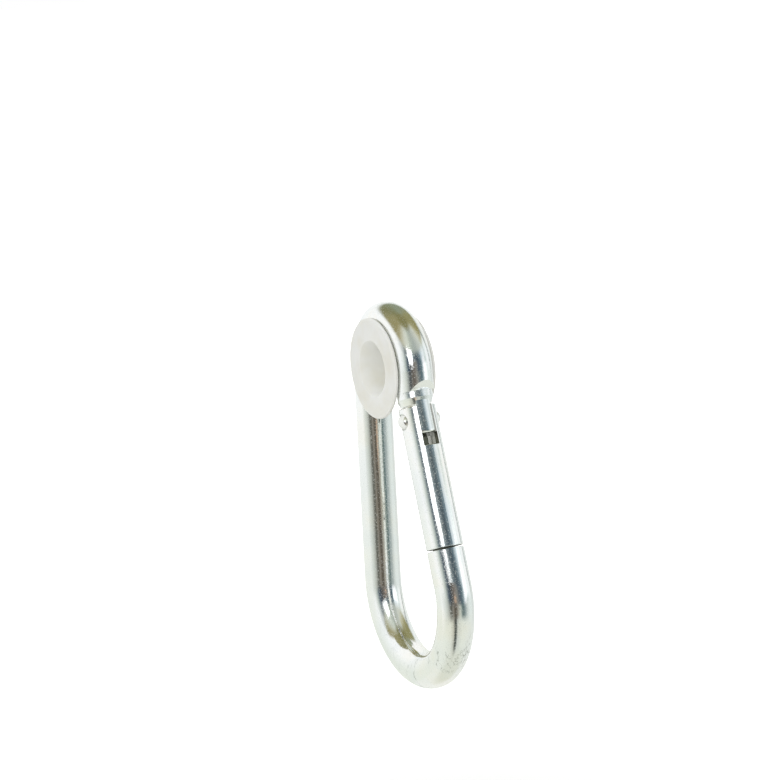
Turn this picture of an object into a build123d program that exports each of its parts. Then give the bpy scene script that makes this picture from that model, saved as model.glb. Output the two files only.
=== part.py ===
"""Pear-shaped spring snap hook of round steel rod, with a nylon bush in its narrow bend.

Frame: origin at the centre of the bush's bore, +Z up along the spine, +X from the spine to the
gate, Y across the loop. Lengths in millimetres, angles in degrees.
"""
from build123d import *
from math import acos, atan2, cos, degrees, hypot, radians, sin, sqrt
import os

os.makedirs("parts", exist_ok=True)

# ---- rod and loop -------------------------------------------------------------------------
rod_diameter = 9.6
overall_length = 100.5
narrow_bend_radius = 12.0  # both bend radii run to the rod's centreline
wide_bend_radius = 20.35
stub_lean = 4.3  # the short run from the narrow bend down to the hinge leans outwards
stub_length = 10.1
nose_length = 8.7  # straight run of the nose above the wide bend

# ---- hinge --------------------------------------------------------------------------------
rivet_drop = 2.95  # rivet below the knee where the stub meets the gate's line
shoulder_rise = 3.8  # shoulders above the rivet
shoulder_chamfer_height = 1.7
shoulder_chamfer_depth = 0.7
collar_radius = 4.75  # the leaning rod is turned down on the gate's line above the shoulders
collar_rise = 7.1  # top of the collar above the rivet
ledge_radius = 4.1  # a sloping facet runs from here, above the collar, out to the rod's skin
ledge_slope = 40.0
ledge_turn = 10.0  # the facet faces a little towards +Y
tang_thickness = 3.8
tang_radius = 4.4  # its outer and inner faces are round about the gate's line
tang_end_drop = 4.0
tang_end_fillet = 0.9
tang_root_depth = 2.4  # carried up into the rod
hinge_gap = 0.4  # between the shoulders and the top of the fork
opening_angle = 38.0
swing_clearance = 0.2

# ---- gate ---------------------------------------------------------------------------------
slot_width = 4.3
window_height = 2.9  # free slot below the tang's end, where the plunger shows
joint_gap = 0.42  # between the gate's foot and the nose
rim_chamfer = 0.2
bore_clearance = 0.08  # round the plunger

# ---- latch: a T-headed tongue that swings into a slot in the nose from inside the loop --------
tongue_thickness = 3.0
tongue_radius = 4.5
tongue_neck_length = 2.4
tongue_head_width = 5.6
tongue_head_height = 2.0
tongue_reach = 2.6  # outer face of the tongue, measured from the gate's line
latch_side_gap = 0.25
latch_lift_gap = 0.45
latch_stop_gap = 0.15

# ---- rivet --------------------------------------------------------------------------------
rivet_diameter = 3.0
rivet_head_diameter = 4.0
rivet_head_height = 1.7
rivet_seat_depth = 0.6  # round seat sunk into the fork's cheeks
rivet_seat_margin = 0.15
rivet_seat_play = 0.02
rivet_turning_clearance = 0.08

# ---- plunger and spring ---------------------------------------------------------------------
plunger_diameter = 4.0
plunger_length = 6.8
plunger_tip_chamfer = 0.6
plunger_stem_diameter = 2.0
plunger_stem_length = 5.5
plunger_gap = 0.05
spring_length = 14.0
spring_wire = 0.6
spring_wire_sides = 8  # the wire is drawn with flats, which keeps the coil light
spring_turns = 7
spring_side_gap = 0.2
spring_end_gap = 0.05
drill_tip_angle = 118.0

# ---- bush ---------------------------------------------------------------------------------
bush_groove_clearance = 0.1  # round the rod
bush_groove_wall = 1.5  # between the groove's floor and the bore
bush_flange_rise = 1.05  # rim of the flanges beyond the rod's centreline
bush_flange_thickness = 0.95  # outside the groove
bush_bore_land = 4.0  # straight middle of the bore
bush_bore_flare = 1.7  # growth of the bore's radius at its mouths
bush_rim_chamfer = 0.25

# ---- worked out from the sizes above ---------------------------------------------------------
rod_radius = rod_diameter / 2
spine_x = -narrow_bend_radius
wide_centre_x = spine_x + wide_bend_radius
wide_centre_z = narrow_bend_radius + rod_diameter + wide_bend_radius - overall_length

# the stub's centreline ends at the knee, from where the gate's line runs tangent to the wide bend
stub_start_x = narrow_bend_radius * cos(radians(stub_lean))
stub_start_z = narrow_bend_radius * sin(radians(stub_lean))
knee_x = stub_start_x + stub_length * sin(radians(stub_lean))
knee_z = stub_start_z - stub_length * cos(radians(stub_lean))
knee_distance = hypot(knee_x - wide_centre_x, knee_z - wide_centre_z)
knee_bearing = degrees(atan2(knee_z - wide_centre_z, knee_x - wide_centre_x))
gate_lean = knee_bearing - degrees(acos(wide_bend_radius / knee_distance))
tangent_drop = sqrt(knee_distance**2 - wide_bend_radius**2) - rivet_drop

# directions of the gate: up along it, and out of the loop
gate_up = Vector(-sin(radians(gate_lean)), 0, cos(radians(gate_lean)))
gate_out = Vector(cos(radians(gate_lean)), 0, sin(radians(gate_lean)))
rivet_centre = Vector(knee_x, 0, knee_z) - gate_up * rivet_drop

# heights along the gate, counted from the rivet
nose_top = nose_length - tangent_drop
gate_foot = nose_top + joint_gap
gate_top = shoulder_rise - hinge_gap
window_floor = -tang_end_drop - window_height
plunger_top = -tang_end_drop - plunger_gap
spring_top = plunger_top - plunger_length
spring_seat = spring_top - spring_length
tongue_head_top = gate_foot - tongue_neck_length
tongue_end = tongue_head_top - tongue_head_height

neck_half_width = tongue_thickness / 2
head_half_width = tongue_head_width / 2
cheek_depth = rod_radius - rivet_seat_depth  # the rivet's seats, measured from the mid plane

# the bush's groove holds the rod, and its bore, flanges and mouths follow the narrow bend
bush_groove_radius = rod_radius + bush_groove_clearance
bush_bore_radius = narrow_bend_radius - bush_groove_radius - bush_groove_wall
bush_mouth_radius = bush_bore_radius + bush_bore_flare
bush_flange_radius = narrow_bend_radius + bush_flange_rise
bush_half_width = bush_groove_radius + bush_flange_thickness

# the spring's bore in the gate
bore_radius = plunger_diameter / 2 + bore_clearance
spring_radius = bore_radius - spring_side_gap - spring_wire / 2

# axes and planes: along the gate (x out of the loop, y up the gate) and square across it
hinge_plane = Plane(origin=rivet_centre, x_dir=gate_out, z_dir=(0, -1, 0))
ledge_out = gate_out * cos(radians(ledge_turn)) + Vector(0, sin(radians(ledge_turn)), 0)
ledge_plane = Plane(origin=rivet_centre, x_dir=ledge_out, z_dir=ledge_out.cross(gate_up))
gate_axis = Axis(rivet_centre, gate_up)
rivet_axis = Axis(rivet_centre, (0, 1, 0))


def across_gate(rise):
    """Plane square to the gate at a height above the rivet; its local y is the part's Y."""
    return Plane(origin=rivet_centre + gate_up * rise, x_dir=gate_out, z_dir=gate_up)


def strip(x_from, x_to, y_from, y_to, mode=Mode.ADD):
    """Rectangle between two pairs of coordinates in the open sketch."""
    with Locations(((x_from + x_to) / 2, (y_from + y_to) / 2)):
        Rectangle(x_to - x_from, y_to - y_from, mode=mode)


# ---- body: one bent rod with the nose, the shoulders and the hinge tang ------------------------
with BuildPart() as body:
    with BuildLine(Plane.XZ) as rod_path:
        tangent_x = wide_centre_x + wide_bend_radius * cos(radians(gate_lean))
        tangent_z = wide_centre_z + wide_bend_radius * sin(radians(gate_lean))
        nose_tip_x = tangent_x + nose_length * gate_up.X
        nose_tip_z = tangent_z + nose_length * gate_up.Z
        Line((nose_tip_x, nose_tip_z), (tangent_x, tangent_z))
        CenterArc((wide_centre_x, wide_centre_z), wide_bend_radius, gate_lean, -180 - gate_lean)
        Line((spine_x, wide_centre_z), (spine_x, 0))
        CenterArc((0, 0), narrow_bend_radius, 180, stub_lean - 180)
        # the rod runs on past the knee, so that the shoulders are cut from its full section
        PolarLine((stub_start_x, stub_start_z), stub_length + rod_radius, stub_lean - 90)
    with BuildSketch(Plane(origin=rod_path.line @ 0, z_dir=rod_path.line % 0)):
        Circle(rod_radius)
    sweep()
    nose_rim = body.edges().filter_by(GeomType.CIRCLE).sort_by_distance(rod_path.line @ 0)[0]
    chamfer(nose_rim, rim_chamfer)

    # square shoulders above the fork, under a collar with a chamfered lower edge
    with BuildSketch(across_gate(shoulder_rise)):
        Circle(rod_diameter)
    extrude(amount=-rod_diameter, mode=Mode.SUBTRACT)
    with BuildSketch(hinge_plane):
        with BuildLine():
            Polyline(
                (collar_radius - shoulder_chamfer_depth, shoulder_rise),
                (collar_radius, shoulder_rise + shoulder_chamfer_height),
                (collar_radius, collar_rise),
                (rod_diameter, collar_rise),
                (rod_diameter, shoulder_rise),
                close=True,
            )
        make_face()
    revolve(axis=gate_axis, mode=Mode.SUBTRACT)

    # sloping facet between the collar and the outer side of the rod
    ledge_run = rod_diameter - ledge_radius
    ledge_height = ledge_run * sin(radians(ledge_slope)) / cos(radians(ledge_slope))
    with BuildSketch(ledge_plane):
        with BuildLine():
            Polyline(
                (ledge_radius, collar_rise),
                (rod_diameter, collar_rise + ledge_height),
                (rod_diameter, collar_rise),
                close=True,
            )
        make_face()
    extrude(amount=rod_diameter, both=True, mode=Mode.SUBTRACT)

    # tang: a flat tongue on the gate's line with round faces and eased lower corners
    with BuildSketch(across_gate(-tang_end_drop)):
        Circle(tang_radius)
        Rectangle(2 * tang_radius, tang_thickness, mode=Mode.INTERSECT)
    extrude(amount=tang_end_drop + shoulder_rise + tang_root_depth)
    tang_end = body.faces().sort_by_distance(rivet_centre - gate_up * tang_end_drop)[0]
    fillet(tang_end.edges().filter_by(GeomType.CIRCLE), tang_end_fillet)
    with BuildSketch(hinge_plane):
        Circle(rivet_diameter / 2 + rivet_turning_clearance)
    extrude(amount=tang_thickness, both=True, mode=Mode.SUBTRACT)

    # T-shaped slot in the nose, open at the nose's end and towards the inside of the loop
    slot_back = tongue_reach + latch_stop_gap
    slot_floor = tongue_end - latch_lift_gap
    with BuildSketch(hinge_plane):
        strip(-rod_diameter, slot_back, tongue_head_top, nose_top + rim_chamfer)
    extrude(amount=neck_half_width + latch_side_gap, both=True, mode=Mode.SUBTRACT)
    with BuildSketch(hinge_plane):
        strip(-rod_diameter, slot_back, slot_floor, tongue_head_top + latch_lift_gap)
    extrude(amount=head_half_width + latch_side_gap, both=True, mode=Mode.SUBTRACT)
body.part.label = "body"
export_step(body.part, "parts/body.step")


# ---- gate: round rod, forked at the top, bored for the spring, with the latch tongue below ------
with BuildPart() as gate:
    with BuildSketch(across_gate(gate_foot)):
        Circle(rod_radius)
    extrude(amount=gate_top - gate_foot)
    chamfer(gate.edges().filter_by(GeomType.CIRCLE), rim_chamfer)

    # tongue: a T-shaped head on a narrower neck
    with BuildSketch(across_gate(tongue_end)):
        Circle(tongue_radius)
        strip(-tongue_radius, tongue_reach, -head_half_width, head_half_width, Mode.INTERSECT)
    extrude(amount=tongue_head_height)
    with BuildSketch(across_gate(tongue_head_top)):
        Circle(tongue_radius)
        strip(-tongue_radius, tongue_reach, -neck_half_width, neck_half_width, Mode.INTERSECT)
    extrude(amount=tongue_neck_length)

    # fork: a through slot for the tang and the window below it
    with BuildSketch(hinge_plane):
        strip(-rod_diameter, rod_diameter, window_floor, gate_top + rim_chamfer)
    extrude(amount=slot_width / 2, both=True, mode=Mode.SUBTRACT)
    window_face = gate.faces().sort_by_distance(rivet_centre + gate_up * window_floor)[0]
    chamfer(window_face.edges().filter_by(GeomType.CIRCLE), rim_chamfer)

    # the inner corner of the fork is cut back to the path that clears the shoulders
    swing_radius = shoulder_rise - swing_clearance
    swing_start = (-sqrt(swing_radius**2 - gate_top**2), gate_top)
    start_angle = degrees(acos(gate_top / swing_radius))
    mid_angle = radians((start_angle + opening_angle) / 2)
    swing_middle = (-swing_radius * sin(mid_angle), swing_radius * cos(mid_angle))
    end_angle = radians(opening_angle)
    swing_end = (-swing_radius * sin(end_angle), swing_radius * cos(end_angle))
    cut_run = rod_diameter + swing_end[0]
    cut_end = (-rod_diameter, swing_end[1] - cut_run * sin(end_angle) / cos(end_angle))
    with BuildSketch(hinge_plane):
        with BuildLine():
            ThreePointArc(swing_start, swing_middle, swing_end)
            Polyline(
                swing_end,
                cut_end,
                (-rod_diameter, rod_diameter),
                (swing_start[0], rod_diameter),
                swing_start,
            )
        make_face()
    extrude(amount=rod_diameter, both=True, mode=Mode.SUBTRACT)

    # blind bore with a drilled bottom
    drill_tip = bore_radius / sin(radians(drill_tip_angle / 2)) * cos(radians(drill_tip_angle / 2))
    with BuildSketch(hinge_plane):
        with BuildLine():
            Polyline(
                (0, window_floor),
                (bore_radius, window_floor),
                (bore_radius, spring_seat),
                (0, spring_seat - drill_tip),
                close=True,
            )
        make_face()
    revolve(axis=gate_axis, mode=Mode.SUBTRACT)

    # rivet hole and the round seats of its heads
    with BuildSketch(hinge_plane):
        Circle(rivet_diameter / 2 + rivet_seat_play)
    extrude(amount=rod_diameter, both=True, mode=Mode.SUBTRACT)
    for side in (-1, 1):
        with BuildSketch(hinge_plane.offset(side * cheek_depth)):
            Circle(rivet_head_diameter / 2 + rivet_seat_margin)
        extrude(amount=side * rod_radius, mode=Mode.SUBTRACT)
gate.part.label = "gate"
export_step(gate.part, "parts/gate.step")


# ---- rivet: a plain shank with a domed head at each end ---------------------------------------
with BuildPart() as rivet:
    shank_radius = rivet_diameter / 2
    head_radius = rivet_head_diameter / 2
    head_top = cheek_depth + rivet_head_height
    with BuildSketch(across_gate(0)):
        with BuildLine():
            TangentArc((0, head_top), (head_radius, cheek_depth), tangent=(1, 0))
            Polyline(
                (head_radius, cheek_depth),
                (shank_radius, cheek_depth),
                (shank_radius, -cheek_depth),
                (head_radius, -cheek_depth),
            )
            TangentArc((0, -head_top), (head_radius, -cheek_depth), tangent=(1, 0))
            Line((0, -head_top), (0, head_top))
        make_face()
    revolve(axis=rivet_axis)
rivet.part.label = "rivet"
export_step(rivet.part, "parts/rivet.step")


# ---- plunger: a round slug under the tang with a stem inside the spring --------------------------
with BuildPart() as plunger:
    with BuildSketch(across_gate(spring_top)):
        Circle(plunger_diameter / 2)
    extrude(amount=plunger_length)
    tip_face = plunger.faces().sort_by(gate_axis)[-1]
    chamfer(tip_face.edges(), plunger_tip_chamfer)
    with BuildSketch(across_gate(spring_top)):
        Circle(plunger_stem_diameter / 2)
    extrude(amount=-plunger_stem_length)
plunger.part.label = "plunger"
export_step(plunger.part, "parts/plunger.step")


# ---- spring: a compression spring between the bore's bottom and the plunger ----------------------
with BuildPart() as spring:
    coil_height = spring_length - spring_wire - 2 * spring_end_gap
    with BuildLine() as coil:
        Helix(
            pitch=coil_height / spring_turns,
            height=coil_height,
            radius=spring_radius,
            center=rivet_centre + gate_up * (spring_seat + spring_end_gap + spring_wire / 2),
            direction=gate_up,
        )
    with BuildSketch(Plane(origin=coil.line @ 0, z_dir=coil.line % 0)):
        RegularPolygon(spring_wire / 2, spring_wire_sides)
    sweep(is_frenet=True)
spring.part.label = "spring"
export_step(spring.part, "parts/spring.step")


# ---- bush: a nylon ring with a rope-groove rim and a flared bore --------------------------------
with BuildPart() as bush:
    land_end = (bush_bore_radius, bush_bore_land / 2)
    mouth_edge = (bush_mouth_radius, bush_half_width)
    with BuildSketch(Plane.XY):
        with BuildLine():
            Line((bush_bore_radius, 0), land_end)
            TangentArc(land_end, mouth_edge, tangent=(0, 1))
            Polyline(
                mouth_edge,
                (bush_flange_radius, bush_half_width),
                (bush_flange_radius, bush_groove_radius),
                (narrow_bend_radius, bush_groove_radius),
            )
            CenterArc((narrow_bend_radius, 0), bush_groove_radius, 90, 90)
            mirror(about=Plane.XZ)
        make_face()
    revolve(axis=Axis.Y)
    rings = bush.edges().filter_by(GeomType.CIRCLE)
    chamfer(rings.group_by(SortBy.RADIUS)[-1], bush_rim_chamfer)
bush.part.label = "bush"
export_step(bush.part, "parts/bush.step")
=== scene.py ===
import bpy
from math import cos, pi, radians, sin
from mathutils import Matrix, Vector


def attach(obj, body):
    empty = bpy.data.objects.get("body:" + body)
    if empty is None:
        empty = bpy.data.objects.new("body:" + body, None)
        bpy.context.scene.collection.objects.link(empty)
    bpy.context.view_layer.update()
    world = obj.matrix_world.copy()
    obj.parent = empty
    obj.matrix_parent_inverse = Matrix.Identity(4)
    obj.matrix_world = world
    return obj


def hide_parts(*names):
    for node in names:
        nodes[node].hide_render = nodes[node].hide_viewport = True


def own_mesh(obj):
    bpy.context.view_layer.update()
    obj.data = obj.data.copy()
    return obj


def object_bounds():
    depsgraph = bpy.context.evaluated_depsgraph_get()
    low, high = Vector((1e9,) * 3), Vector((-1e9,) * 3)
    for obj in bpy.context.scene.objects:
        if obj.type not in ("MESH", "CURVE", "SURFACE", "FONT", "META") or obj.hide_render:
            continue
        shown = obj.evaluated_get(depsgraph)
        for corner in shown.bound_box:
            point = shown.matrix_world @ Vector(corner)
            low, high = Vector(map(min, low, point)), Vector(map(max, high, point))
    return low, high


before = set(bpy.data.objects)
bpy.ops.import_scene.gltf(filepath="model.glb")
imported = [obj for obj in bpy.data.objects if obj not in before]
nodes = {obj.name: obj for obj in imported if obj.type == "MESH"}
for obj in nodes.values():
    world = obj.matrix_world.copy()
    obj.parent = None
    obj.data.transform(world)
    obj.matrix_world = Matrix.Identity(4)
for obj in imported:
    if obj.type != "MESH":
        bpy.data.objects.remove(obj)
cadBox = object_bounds()
centre = (cadBox[0] + cadBox[1]) / 2
lowest = cadBox[0].z
print("frame loaded:", ", ".join(sorted(nodes)))


def hexColor(code):  # sRGB hex to the linear colour that the nodes use
    channels = [int(code[i:i + 2], 16) / 255 for i in (1, 3, 5)]
    linear = [c / 12.92 if c <= 0.04045 else ((c + 0.055) / 1.055) ** 2.4 for c in channels]
    return (*linear, 1.0)


# inputs go by name or number: a colour Mix has its factor at 0, its colours at 6 and 7, and gives output 2
def addNode(tree, kind, inputs={}, stops=(), **settings):
    node = tree.nodes.new(kind)
    for name, value in settings.items():
        setattr(node, name, value)
    for name, value in inputs.items():
        if isinstance(value, bpy.types.NodeSocket):
            tree.links.new(value, node.inputs[name])
        else:
            node.inputs[name].default_value = value
    for index, (place, code) in enumerate(stops):  # stops of a colour ramp, which has two from the start
        elements = node.color_ramp.elements
        element = elements[index] if index < 2 else elements.new(place)
        element.position = place
        element.color = hexColor(code)
    return node


def newMaterial(name):
    material = bpy.data.materials.new(name)
    material.use_nodes = True
    material.node_tree.nodes.clear()
    return material


def aimedAt(azimuth, elevation, distance, target, roll=0.0):  # a camera or lamp matrix looking at the target
    turn = radians(azimuth)
    rise = radians(elevation)
    back = Vector((sin(turn) * cos(rise), -cos(turn) * cos(rise), sin(rise)))
    rotation = (-back).to_track_quat("-Z", "Y").to_matrix() @ Matrix.Rotation(radians(roll), 3, "Z")
    return Matrix.Translation(target + back * distance) @ rotation.to_4x4()


# camera: a long lens from above the gate's side, the hook hanging slightly askew in the view
cameraValues = {"azimuth": 63.55, "elevation": 11.63, "distance": 0.8094, "roll": -2.93,
                "lens": 145.3, "sensor": 36, "lookRight": -0.0061, "lookUp": 0.0278}
cameraAzimuth = cameraValues["azimuth"]
view = aimedAt(cameraAzimuth, cameraValues["elevation"], 0.0, Vector((0, 0, 0)), cameraValues["roll"])
lookAt = centre + view.to_3x3() @ Vector((cameraValues["lookRight"], cameraValues["lookUp"], 0))
cameraData = bpy.data.cameras.new("camera")
cameraData.lens = cameraValues["lens"]
cameraData.sensor_width = cameraValues["sensor"]
camera = bpy.data.objects.new("camera", cameraData)
camera.matrix_world = aimedAt(cameraAzimuth, cameraValues["elevation"], cameraValues["distance"], lookAt,
                              cameraValues["roll"])
bpy.context.scene.collection.objects.link(camera)
bpy.context.scene.camera = camera
bpy.context.scene.view_settings.view_transform = "Standard"
print("camera placed")


# studio: white surroundings that turn dark towards the camera's side of the room, as bright metal shows them
# each ramp runs once round the room, from behind the hook (0) past the camera (0.5) and back (1)
studio = {
    "white": "#FFFFFF",  # the background itself
    "fill": "#F6F7F8",  # even light on everything that isn't a mirror
    "low": [
        (0.0, "#FAFBF8"), (0.14, "#EFF1EE"), (0.26, "#F9FBF6"), (0.305, "#E6E9E3"), (0.35, "#D0D5CC"),
        (0.39, "#AEB0A8"), (0.415, "#6C6D64"), (0.435, "#605F57"), (0.462, "#8C867B"), (0.49, "#5E584D"),
        (0.512, "#5D574E"), (0.54, "#A29D90"), (0.575, "#CACDC0"), (0.595, "#B0B8AE"), (0.615, "#677876"),
        (0.64, "#627372"), (0.67, "#909C9B"), (0.72, "#D0D7D2"), (0.76, "#E4EAE6"), (0.82, "#E6EDE8"),
        (0.855, "#D9DDD9"), (0.90, "#E7EAE6"), (1.0, "#FAFBF8")],
    "mid": [
        (0.0, "#F6F8F4"), (0.114, "#F3F5F1"), (0.217, "#FBFDFA"), (0.283, "#FFFFFF"), (0.322, "#F4F7F3"),
        (0.342, "#DDE1DC"), (0.364, "#BFC8C1"), (0.392, "#7C878A"), (0.417, "#46535F"), (0.442, "#484F54"),
        (0.467, "#5A5856"), (0.486, "#6A645C"), (0.505, "#77706A"), (0.520, "#7E7870"), (0.536, "#85817A"),
        (0.556, "#7E807C"), (0.575, "#5A6268"), (0.605, "#58656D"), (0.640, "#647A80"), (0.657, "#A0ADB2"),
        (0.677, "#EEF3F5"), (0.705, "#FFFFFF"), (0.725, "#D8E0DE"), (0.742, "#D0DAD6"), (0.770, "#F6FAF8"),
        (0.811, "#FFFFFF"), (0.828, "#ECF1EE"), (0.840, "#A9B0AB"), (0.850, "#AEB4B0"), (0.866, "#EEF2F0"),
        (1.0, "#F6F8F4")],
    "high": [
        (0.0, "#F1F4F2"), (0.17, "#F1F4F2"), (0.25, "#FDFFFE"), (0.295, "#F6F9F7"), (0.32, "#DDE0DE"),
        (0.35, "#CDD1CF"), (0.372, "#98A0A0"), (0.392, "#7A8182"), (0.410, "#A0A6A7"), (0.425, "#DDE1E2"),
        (0.445, "#F2F5F6"), (0.478, "#E4EAEC"), (0.498, "#C4CBCD"), (0.512, "#8B9698"), (0.535, "#68747A"),
        (0.575, "#46535B"), (0.60, "#56646C"), (0.635, "#768890"), (0.66, "#B9C6CC"), (0.695, "#EAF2F4"),
        (0.72, "#ECF2F2"), (0.75, "#D7DFDD"), (0.785, "#F6FCFA"), (0.815, "#EEF3F0"), (0.832, "#CBD0CD"),
        (0.842, "#979E9A"), (0.852, "#9DA4A0"), (0.870, "#DEE3E0"), (0.93, "#F5F9F8"), (1.0, "#F1F4F2")],
    "above": [
        (0.0, "#8E9680"), (0.06, "#868A6C"), (0.12, "#807F5C"), (0.22, "#96916A"), (0.29, "#958E66"),
        (0.335, "#A8A382"), (0.37, "#C0BFA8"), (0.41, "#D0D3C6"), (0.46, "#D2D8CB"), (0.51, "#B4BCB0"),
        (0.58, "#A8B0A8"), (0.66, "#C0C5BC"), (0.72, "#CED2C6"), (0.76, "#BEBCA0"), (0.80, "#9F9B74"),
        (0.84, "#928E64"), (0.91, "#918F66"), (0.96, "#8E947C"), (1.0, "#8E9680")],
    "below": [
        (0.0, "#F4F5F0"), (0.30, "#E9EDE2"), (0.40, "#E3E6DA"), (0.455, "#C6C7BA"), (0.478, "#565A55"),
        (0.503, "#545A56"), (0.53, "#D2D6CE"), (0.62, "#E4E8DD"), (0.80, "#E6E9E0"), (1.0, "#F4F5F0")],
    "zenith": "#837F55",
    "nadir": "#DDE0D2",
    # low fills the room, and each of these is laid over it, in this order, coming in between two elevations
    "layers": {"mid": (-9, -1), "high": (13, 18), "below": (-15, -26), "above": (21, 35),
               "nadir": (-50, -72), "zenith": (62, 80)}}

world = bpy.data.worlds.new("studio")
bpy.context.scene.world = world
world.use_nodes = True
tree = world.node_tree
tree.nodes.clear()
direction = addNode(tree, "ShaderNodeTexCoord").outputs["Generated"]
turned = addNode(tree, "ShaderNodeVectorRotate", {"Vector": direction, "Angle": -radians(cameraAzimuth)},
                 rotation_type="Z_AXIS").outputs[0]
parts = addNode(tree, "ShaderNodeSeparateXYZ", {"Vector": turned}).outputs
ahead = addNode(tree, "ShaderNodeMath", {0: parts["Y"], 1: -1.0}, operation="MULTIPLY").outputs[0]
bearing = addNode(tree, "ShaderNodeMath", {0: parts["X"], 1: ahead}, operation="ARCTAN2").outputs[0]
around = addNode(tree, "ShaderNodeMapRange", {"Value": bearing, "From Min": -pi, "From Max": pi}).outputs[0]
height = addNode(tree, "ShaderNodeMath", {0: parts["Z"]}, operation="ARCSINE").outputs[0]
sky = addNode(tree, "ShaderNodeValToRGB", {"Fac": around}, stops=studio["low"]).outputs[0]
for name, (start, end) in studio["layers"].items():
    share = addNode(tree, "ShaderNodeMapRange",
                    {"Value": height, "From Min": radians(start), "From Max": radians(end)},
                    interpolation_type="SMOOTHSTEP").outputs[0]
    if name in ("nadir", "zenith"):
        band = hexColor(studio[name])
    else:
        band = addNode(tree, "ShaderNodeValToRGB", {"Fac": around}, stops=studio[name]).outputs[0]
    sky = addNode(tree, "ShaderNodeMix", {0: share, 6: sky, 7: band}, data_type="RGBA").outputs[2]
rays = addNode(tree, "ShaderNodeLightPath").outputs
mirrorRay = addNode(tree, "ShaderNodeMath", {0: rays["Is Glossy Ray"], 1: rays["Is Transmission Ray"]},
                    operation="MAXIMUM").outputs[0]
lit = addNode(tree, "ShaderNodeMix", {0: mirrorRay, 6: hexColor(studio["fill"]), 7: sky},
              data_type="RGBA").outputs[2]
seen = addNode(tree, "ShaderNodeMix", {0: rays["Is Camera Ray"], 6: lit, 7: hexColor(studio["white"])},
               data_type="RGBA").outputs[2]
background = addNode(tree, "ShaderNodeBackground", {"Color": seen, "Strength": 1.0}).outputs[0]
addNode(tree, "ShaderNodeOutputWorld", {"Surface": background})

# lamps: bearing is counted from the camera, and fade is the share of the half size that dims towards the rim
lamps = {
    "softboxLeft": {"bearing": -13, "elevation": 26.5, "distance": 0.253, "size": (0.11, 0.11),
                    "radiance": 1.7, "fade": 0.12, "color": "#FFFFFF"},
    "softboxRight": {"bearing": 76, "elevation": 4.0, "distance": 0.252, "size": (0.15, 0.11),
                     "radiance": 0.42, "fade": 0.5, "color": "#FFFFFF"},
    "warmLamp": {"bearing": 7, "elevation": -8, "distance": 0.13, "size": (0.034, 0.022),
                 "radiance": 0.3, "fade": 0.6, "color": "#FFCFA4"}}
for name, values in lamps.items():
    lampData = bpy.data.lights.new(name, "AREA")
    lampData.shape = "RECTANGLE"
    lampData.size, lampData.size_y = values["size"]
    lampData.energy = values["radiance"] * pi * lampData.size * lampData.size_y
    lampData.use_nodes = True
    tree = lampData.node_tree
    tree.nodes.clear()
    spot = addNode(tree, "ShaderNodeNewGeometry").outputs["Parametric"]  # 0 to 1 across the lamp, both ways
    strength = 1.0
    for side in addNode(tree, "ShaderNodeSeparateXYZ", {"Vector": spot}).outputs[:2]:
        inward = addNode(tree, "ShaderNodeMath", {0: side, 1: 0.5}, operation="PINGPONG").outputs[0]
        faded = addNode(tree, "ShaderNodeMapRange",
                        {"Value": inward, "From Min": 0.0, "From Max": values["fade"] / 2},
                        interpolation_type="SMOOTHSTEP").outputs[0]
        strength = addNode(tree, "ShaderNodeMath", {0: faded, 1: strength}, operation="MULTIPLY").outputs[0]
    glow = addNode(tree, "ShaderNodeEmission",
                   {"Color": hexColor(values["color"]), "Strength": strength}).outputs[0]
    addNode(tree, "ShaderNodeOutputLight", {"Surface": glow})
    lamp = bpy.data.objects.new(name, lampData)
    lamp.matrix_world = aimedAt(cameraAzimuth + values["bearing"], values["elevation"], values["distance"],
                                centre)
    lamp.visible_camera = False
    bpy.context.scene.collection.objects.link(lamp)

# white card: a low curved wall close behind the hook and to its left, which bright metal shows and the
# camera doesn't; it fades out at its top and sides and is a little duller near its foot
cardValues = {"radius": 0.12, "sides": 96, "from": -76, "to": -208, "bottom": -0.17, "top": 0.075,
              "topFade": 0.025, "sideFade": 14,
              "white": "#FEFFFE", "low": "#EAEEE4", "lowFrom": -0.02, "lowTo": -0.11}
cardMiddle = (cardValues["top"] + cardValues["bottom"]) / 2  # the height that its own coordinates start from
cardHalfHeight = (cardValues["top"] - cardValues["bottom"]) / 2
cardBearing = radians(cameraAzimuth + (cardValues["from"] + cardValues["to"]) / 2)
cardHalfArc = radians((cardValues["from"] - cardValues["to"]) / 2)
cardOutward = Vector((sin(cardBearing), -cos(cardBearing), 0))
bpy.ops.object.select_all(action="DESELECT")
bpy.ops.mesh.primitive_cylinder_add(vertices=cardValues["sides"], radius=cardValues["radius"],
                                    end_fill_type="NOTHING", depth=cardValues["top"] - cardValues["bottom"],
                                    location=(centre.x, 0, cardMiddle))
card = bpy.context.object
card.name = "whiteCard"
bpy.ops.object.mode_set(mode="EDIT")
bpy.ops.mesh.select_mode(type="FACE")
bpy.ops.mesh.select_all(action="DESELECT")
bpy.ops.object.mode_set(mode="OBJECT")
for face in card.data.polygons:  # the faces outside the card's arc go
    outward = Vector((face.center.x, face.center.y, 0)).normalized()
    face.select = outward.dot(cardOutward) < cos(cardHalfArc)
bpy.ops.object.mode_set(mode="EDIT")
bpy.ops.mesh.delete(type="FACE")
bpy.ops.object.mode_set(mode="OBJECT")
card.visible_camera = card.visible_diffuse = card.visible_shadow = False
board = newMaterial("white card board")
tree = board.node_tree
place = addNode(tree, "ShaderNodeTexCoord").outputs["Object"]
rise = addNode(tree, "ShaderNodeSeparateXYZ", {"Vector": place}).outputs["Z"]
topGone = addNode(tree, "ShaderNodeMapRange",
                  {"Value": rise, "From Min": cardHalfHeight - cardValues["topFade"],
                   "From Max": cardHalfHeight},
                  interpolation_type="SMOOTHSTEP").outputs[0]
reach = addNode(tree, "ShaderNodeVectorMath", {0: place, 1: cardOutward}, operation="DOT_PRODUCT")
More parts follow.
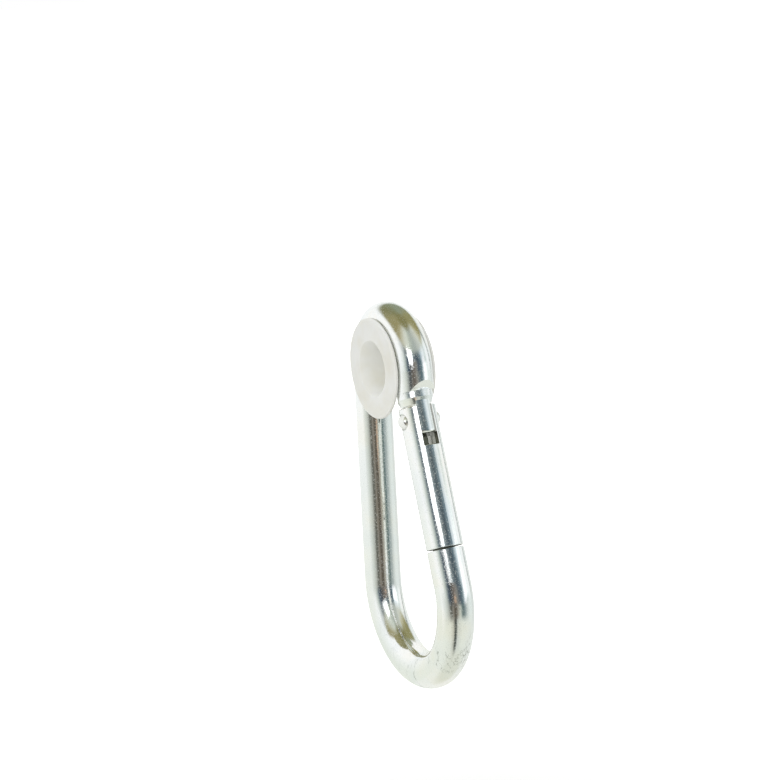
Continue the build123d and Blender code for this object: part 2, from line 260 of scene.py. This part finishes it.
fadeStart = cardValues["radius"] * cos(cardHalfArc - radians(cardValues["sideFade"]))
fadeEnd = cardValues["radius"] * cos(cardHalfArc)
sideGone = addNode(tree, "ShaderNodeMapRange",
                   {"Value": reach.outputs["Value"], "From Min": fadeStart, "From Max": fadeEnd},
                   interpolation_type="SMOOTHSTEP").outputs[0]
gone = addNode(tree, "ShaderNodeMath", {0: topGone, 1: sideGone}, operation="MAXIMUM").outputs[0]
lowShare = addNode(tree, "ShaderNodeMapRange",
                   {"Value": rise, "From Min": cardValues["lowFrom"] - cardMiddle,
                    "From Max": cardValues["lowTo"] - cardMiddle}).outputs[0]
boardColor = addNode(tree, "ShaderNodeMix",
                     {0: lowShare, 6: hexColor(cardValues["white"]), 7: hexColor(cardValues["low"])},
                     data_type="RGBA").outputs[2]
shine = addNode(tree, "ShaderNodeEmission", {"Color": boardColor, "Strength": 1.0}).outputs[0]
clear = addNode(tree, "ShaderNodeBsdfTransparent").outputs[0]
faded = addNode(tree, "ShaderNodeMixShader", {0: gone, 1: shine, 2: clear}).outputs[0]
addNode(tree, "ShaderNodeOutputMaterial", {"Surface": faded})
card.data.materials.append(board)
print("studio lit")


# floor: the hook hangs, so the floor is below it and takes only a soft shadow
# near the hook it glows a little, so that the shadow stays, and from farAway on it is plain white
floorValues = {"drop": 0.06, "size": 6.0, "paint": "#E9E9E7", "glow": "#FFFFFF",
               "nearBy": 0.05, "farAway": 0.35, "nearGlow": 0.17, "farGlow": 1.0}
bpy.ops.object.select_all(action="DESELECT")
bpy.ops.mesh.primitive_plane_add(size=floorValues["size"],
                                 location=(centre.x, 0, lowest - floorValues["drop"]))
floor = bpy.context.object
floor.name = "floor"
floor.visible_glossy = False
paint = newMaterial("pale floor paint")
tree = paint.node_tree
place = addNode(tree, "ShaderNodeTexCoord").outputs["Object"]
reach = addNode(tree, "ShaderNodeVectorMath", {0: place}, operation="LENGTH").outputs["Value"]
far = addNode(tree, "ShaderNodeMapRange", {"Value": reach, "From Min": floorValues["nearBy"],
                                           "From Max": floorValues["farAway"]},
              interpolation_type="SMOOTHSTEP").outputs[0]
rays = addNode(tree, "ShaderNodeLightPath").outputs
glow = addNode(tree, "ShaderNodeMapRange", {"Value": far, "To Min": floorValues["nearGlow"],
                                            "To Max": floorValues["farGlow"]}).outputs[0]
glowSeen = addNode(tree, "ShaderNodeMath", {0: glow, 1: rays["Is Camera Ray"]},
                   operation="MULTIPLY").outputs[0]
matt = addNode(tree, "ShaderNodeBsdfDiffuse", {"Color": hexColor(floorValues["paint"])}).outputs[0]
shine = addNode(tree, "ShaderNodeEmission",
                {"Color": hexColor(floorValues["glow"]), "Strength": glowSeen}).outputs[0]
both = addNode(tree, "ShaderNodeAddShader", {0: matt, 1: shine}).outputs[0]
addNode(tree, "ShaderNodeOutputMaterial", {"Surface": both})
floor.data.materials.append(paint)
print("floor laid")


# hinge: places on the gate and the body that get painted shade, a painted highlight or a rougher turned
# finish, each as a middle and a half width in metres, counted from the rivet along the closed gate, across it
# or out of the loop
hinge = {"rivet": (0.013692, 0, -0.011958), "lean": 19.176,  # degrees that the closed gate leans in
         "rod": (0, 0.006),  # all of the rod
         "seam": (-0.03334, 0.000225),  # along: the gap between the gate's foot and the nose
         "bore": (-0.02005, 0.01315), "boreWidth": (0, 0.003),  # along, and across or out: the spring's bore
         "slot": (0.00015, 0.00395), "slotWidth": (0, 0.00218), "slotDepth": (0.0012, 0.006),
         "window": (-0.0054, 0.0016), "windowDepth": (-0.0012, 0.0036), "windowFloor": (-0.0069, 0.00005),
         "mouth": 0.0037, "mouthHalf": 0.0013,  # out: both mouths of the window
         "wall": 0.00215, "wallHalf": 0.00003,  # across: both walls of the slot and the window
         "collar": (0.0062, 0.001)}  # along: the turned collar of the body, above its shoulders
lean = radians(hinge["lean"])
gateUp = Vector((-sin(lean), 0, cos(lean)))
ways = {"along": gateUp, "across": Vector((0, 1, 0)), "out": Vector((cos(lean), 0, sin(lean)))}

# bright zinc plated steel: a mirror-like electroplated skin over drawn rod, faintly blue, speckled with matt
# pores that catch light in the dark reflections, with fine scuffs on the wide bend, where the hook rubs on
# what it holds; the pores are drawn coarser than they are, so that they show; all sizes are in metres
zinc = {"color": "#FAFBFA", "blue": "#F4F7F8", "warm": "#F9F7F1", "tintSize": 0.009,
        "blueFrom": 0.42, "blueTo": 0.62, "warmFrom": 0.46, "warmTo": 0.34, "warmMost": 0.6,
        "roughness": 0.05, "poreRoughness": 0.34, "poreSize": 0.00036, "poreFrom": 0.51, "poreTo": 0.66,
        "grainDepth": 0.000004, "waveSize": 0.006, "waveDepth": 0.00003,
        "scuffColor": "#9A9C96", "scuffSize": 0.0042, "scuffStretch": (1, 1, 0.22), "scuffWidth": 0.012,
        "scuffFrom": 0.46, "scuffTo": 0.56, "scuffTop": -0.063, "scuffBottom": -0.071, "scuffMost": 0.7,
        "scuffInside": 0.004, "scuffOutside": 0.016, "scuffLeast": 0.15,
        # the dark colour on the last line is painted shade, and its white colour is a painted highlight
        "paintedShadeColor": "#8E8F82", "paintedShadeRoughness": 0.5, "paintedHighlightColor": "#F6F7F1", "turnedRoughness": 0.1}


def insideShare(tree, place, boxes):  # 1 where a point lies in one of the boxes, otherwise 0
    fromRivet = addNode(tree, "ShaderNodeVectorMath", {0: place, 1: hinge["rivet"]},
                        operation="SUBTRACT").outputs[0]
    measures = {}
    for measure in sorted({measure for box in boxes for measure in box}):
        measures[measure] = addNode(tree, "ShaderNodeVectorMath", {0: fromRivet, 1: ways[measure]},
                                    operation="DOT_PRODUCT").outputs["Value"]
    total = 0.0
    for box in boxes:
        share = 1.0
        for measure, (middle, half) in box.items():
            near = addNode(tree, "ShaderNodeMath", {0: measures[measure], 1: middle, 2: half},
                           operation="COMPARE").outputs[0]
            share = addNode(tree, "ShaderNodeMath", {0: near, 1: share}, operation="MULTIPLY").outputs[0]
        total = addNode(tree, "ShaderNodeMath", {0: share, 1: total}, operation="MAXIMUM").outputs[0]
    return total


def zincMaterial(name, values, paintedShadePlaces=(), paintedHighlightPlaces=(), turnings=()):
    material = newMaterial(name)
    tree = material.node_tree
    place = addNode(tree, "ShaderNodeTexCoord").outputs["Object"]
    tint = addNode(tree, "ShaderNodeTexNoise", {"Vector": place, "Scale": 1 / values["tintSize"],
                                                "Detail": 4.0, "Roughness": 0.6}).outputs["Fac"]
    blueShare = addNode(tree, "ShaderNodeMapRange", {"Value": tint, "From Min": values["blueFrom"],
                                                     "From Max": values["blueTo"]}).outputs[0]
    cool = addNode(tree, "ShaderNodeMix",
                   {0: blueShare, 6: hexColor(values["color"]), 7: hexColor(values["blue"])},
                   data_type="RGBA").outputs[2]
    warmShare = addNode(tree, "ShaderNodeMapRange", {"Value": tint, "From Min": values["warmFrom"],
                                                     "From Max": values["warmTo"],
                                                     "To Max": values["warmMost"]}).outputs[0]
    color = addNode(tree, "ShaderNodeMix", {0: warmShare, 6: cool, 7: hexColor(values["warm"])},
                    data_type="RGBA").outputs[2]
    grain = addNode(tree, "ShaderNodeTexNoise",
                    {"Vector": place, "Scale": 1 / values["poreSize"], "Detail": 2.0}).outputs["Fac"]
    wave = addNode(tree, "ShaderNodeTexNoise",
                   {"Vector": place, "Scale": 1 / values["waveSize"], "Detail": 1.0}).outputs["Fac"]
    rough = addNode(tree, "ShaderNodeMapRange", {"Value": grain, "From Min": values["poreFrom"],
                                                 "From Max": values["poreTo"], "To Min": values["roughness"],
                                                 "To Max": values["poreRoughness"]}).outputs[0]

    # scuffs: thin broken lines where a stretched noise crosses its middle value, in patches low on the hook
    stretched = addNode(tree, "ShaderNodeVectorMath", {0: place, 1: values["scuffStretch"]},
                        operation="MULTIPLY").outputs[0]
    streak = addNode(tree, "ShaderNodeTexNoise", {"Vector": stretched, "Scale": 1 / values["scuffSize"],
                                                  "Detail": 4.0, "Roughness": 0.7}).outputs["Fac"]
    line = addNode(tree, "ShaderNodeMath", {0: streak, 1: 0.5, 2: values["scuffWidth"]},
                   operation="COMPARE").outputs[0]
    patch = addNode(tree, "ShaderNodeMapRange", {"Value": tint, "From Min": values["scuffFrom"],
                                                 "From Max": values["scuffTo"]}).outputs[0]
    spread = addNode(tree, "ShaderNodeSeparateXYZ", {"Vector": place}).outputs
    worn = addNode(tree, "ShaderNodeMapRange", {"Value": spread["Z"], "From Min": values["scuffTop"],
                                                "From Max": values["scuffBottom"],
                                                "To Max": values["scuffMost"]}).outputs[0]
    outside = addNode(tree, "ShaderNodeMapRange", {"Value": spread["X"], "From Min": values["scuffInside"],
                                                   "From Max": values["scuffOutside"],
                                                   "To Min": values["scuffLeast"]}).outputs[0]
    scuff = 1.0
    for share in (line, patch, worn, outside):
        scuff = addNode(tree, "ShaderNodeMath", {0: share, 1: scuff}, operation="MULTIPLY").outputs[0]
    color = addNode(tree, "ShaderNodeMix", {0: scuff, 6: color, 7: hexColor(values["scuffColor"])},
                    data_type="RGBA").outputs[2]

    # turned faces keep fine tool marks under the zinc, so they mirror less sharply
    if turnings:
        turned = insideShare(tree, place, turnings)
        rough = addNode(tree, "ShaderNodeMath", {0: turned, 1: values["turnedRoughness"], 2: rough},
                        operation="MULTIPLY_ADD").outputs[0]

    # painted highlights: white, matte and not metal, standing in for the light on the slot's walls, the
    # window's floor, the pin and the rivet
    # painted shade: dark and rough, standing in for the shade in the seam, the bore, the window's mouths and
    # on the pin
    metal = 1.0
    if paintedHighlightPlaces:
        highlightShare = insideShare(tree, place, paintedHighlightPlaces)
        color = addNode(tree, "ShaderNodeMix", {0: highlightShare, 6: color, 7: hexColor(values["paintedHighlightColor"])},
                        data_type="RGBA").outputs[2]
        metal = addNode(tree, "ShaderNodeMath", {0: 1.0, 1: highlightShare}, operation="SUBTRACT").outputs[0]
    if paintedShadePlaces:
        shadeShare = insideShare(tree, place, paintedShadePlaces)
        color = addNode(tree, "ShaderNodeMix", {0: shadeShare, 6: color, 7: hexColor(values["paintedShadeColor"])},
                        data_type="RGBA").outputs[2]
        rough = addNode(tree, "ShaderNodeMix",
                        {0: shadeShare, 2: rough, 3: values["paintedShadeRoughness"]}).outputs[0]
    coarse = addNode(tree, "ShaderNodeBump",
                     {"Height": wave, "Strength": 1.0, "Distance": values["waveDepth"]}).outputs[0]
    fine = addNode(tree, "ShaderNodeBump", {"Height": grain, "Strength": 1.0, "Normal": coarse,
                                            "Distance": values["grainDepth"]}).outputs[0]
    surface = addNode(tree, "ShaderNodeBsdfPrincipled",
                      {"Base Color": color, "Metallic": metal, "Roughness": rough, "Normal": fine}).outputs[0]
    addNode(tree, "ShaderNodeOutputMaterial", {"Surface": surface})
    return material


# moulded nylon: milky off-white, satin, with a faint warm tint in places and a fine mould texture, which is
# drawn coarser than it is, so that it shows
nylon = {"color": "#EBEBE6", "warm": "#E5E3D8", "warmSize": 0.007, "warmFrom": 0.4, "warmTo": 0.7,
         "roughness": 0.5, "smoother": 0.05, "rougher": 0.08, "pitSize": 0.0006, "pitDepth": 0.000012,
         "pitFrom": 0.3, "pitTo": 0.7, "ior": 1.53, "specular": 0.25,
         "milkiness": 0.45, "milkDepth": (0.0015, 0.0015, 0.0014)}


def nylonMaterial(values):
    material = newMaterial("moulded nylon")
    tree = material.node_tree
    place = addNode(tree, "ShaderNodeTexCoord").outputs["Object"]
    patches = addNode(tree, "ShaderNodeTexNoise",
                      {"Vector": place, "Scale": 1 / values["warmSize"], "Detail": 3.0}).outputs["Fac"]
    warmShare = addNode(tree, "ShaderNodeMapRange", {"Value": patches, "From Min": values["warmFrom"],
                                                     "From Max": values["warmTo"]}).outputs[0]
    color = addNode(tree, "ShaderNodeMix",
                    {0: warmShare, 6: hexColor(values["color"]), 7: hexColor(values["warm"])},
                    data_type="RGBA").outputs[2]
    pits = addNode(tree, "ShaderNodeTexNoise",
                   {"Vector": place, "Scale": 1 / values["pitSize"], "Detail": 2.0}).outputs["Fac"]
    rough = addNode(tree, "ShaderNodeMapRange",
                    {"Value": pits, "From Min": values["pitFrom"], "From Max": values["pitTo"],
                     "To Min": values["roughness"] - values["smoother"],
                     "To Max": values["roughness"] + values["rougher"]}).outputs[0]
    bump = addNode(tree, "ShaderNodeBump",
                   {"Height": pits, "Strength": 1.0, "Distance": values["pitDepth"]}).outputs[0]
    surface = addNode(tree, "ShaderNodeBsdfPrincipled",
                      {"Base Color": color, "Roughness": rough, "IOR": values["ior"],
                       "Specular IOR Level": values["specular"], "Subsurface Weight": values["milkiness"],
                       "Subsurface Radius": values["milkDepth"], "Subsurface Scale": 1.0,
                       "Normal": bump}).outputs[0]
    addNode(tree, "ShaderNodeOutputMaterial", {"Surface": surface})
    return material


# painted shade and highlights: the seam, the bore and the window's mouths are painted dark as painted shade,
# and the walls inside and the window's floor are painted white as a painted highlight
seam = {"along": hinge["seam"], "out": hinge["rod"]}
bore = {"along": hinge["bore"], "across": hinge["boreWidth"], "out": hinge["boreWidth"]}
windowFloor = {"along": hinge["windowFloor"], "across": hinge["slotWidth"], "out": hinge["windowDepth"]}
collar = {"along": hinge["collar"], "out": hinge["rod"]}
mouths = []
walls = []
for side in (-1, 1):
    mouth = (side * hinge["mouth"], hinge["mouthHalf"])
    wall = (side * hinge["wall"], hinge["wallHalf"])
    mouths.append({"along": hinge["window"], "across": hinge["slotWidth"], "out": mouth})
    walls.append({"along": hinge["window"], "across": wall, "out": hinge["windowDepth"]})
    walls.append({"along": hinge["slot"], "across": wall, "out": hinge["slotDepth"]})

# drawn spring steel: not plated, so greyer, with a soft shine
wire = {**zinc, "color": "#C9CBCD", "blue": "#BCC1C6", "warm": "#C6C2B8", "roughness": 0.22}
# dull pin: satin zinc, painted dark as painted shade over one half of its width and white as a painted
# highlight over the other
pin = {**zinc, "roughness": 0.2, "shadedHalf": (-0.0017, 0.0021), "paintedLitPart": (0.0014, 0.0010)}
# rivet: satin zinc, its heads painted white and matte as a painted highlight, except for a bright metal edge
# away from the loop
rivet = {**zinc, "roughness": 0.25, "paintedLitPart": (-0.0045, 0.006)}
# after the name and the values come the places of painted shade, then of painted highlights, then of the
# rougher turned collar
finishes = {
    "body": zincMaterial("zinc plated steel rod", zinc, (seam,), (), (collar,)),
    "gate": zincMaterial("zinc plated steel gate", zinc, (seam, bore, *mouths), (*walls, windowFloor)),
    "rivet": zincMaterial("zinc plated rivet", rivet, (), ({"out": rivet["paintedLitPart"]},)),
    "plunger": zincMaterial("dull zinc plated pin", pin, ({"across": pin["shadedHalf"]},),
                            ({"across": pin["paintedLitPart"]},)),
    "spring": zincMaterial("drawn spring steel", wire),
    "bush": nylonMaterial(nylon)}
for name, material in finishes.items():
    nodes[name].data.materials.clear()
    nodes[name].data.materials.append(material)
print("finishes given")


# spring: a merged, smooth-shaded copy of the imported coil, attached to the gate arm
springValues = {"foot": -0.02485, "length": 0.014, "mergeDistance": 0.000001, "smoothAngle": 50}
coil = bpy.data.objects.new("coilSpring", nodes["spring"].data.copy())
bpy.context.scene.collection.objects.link(coil)
bpy.ops.object.select_all(action="DESELECT")
coil.select_set(True)
bpy.context.view_layer.objects.active = coil
bpy.ops.object.mode_set(mode="EDIT")
bpy.ops.mesh.select_all(action="SELECT")
bpy.ops.mesh.remove_doubles(threshold=springValues["mergeDistance"])
bpy.ops.object.mode_set(mode="OBJECT")
bpy.ops.object.shade_smooth_by_angle(angle=radians(springValues["smoothAngle"]))
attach(coil, "gate_arm")
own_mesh(coil)
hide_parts("spring")
print("spring fitted")
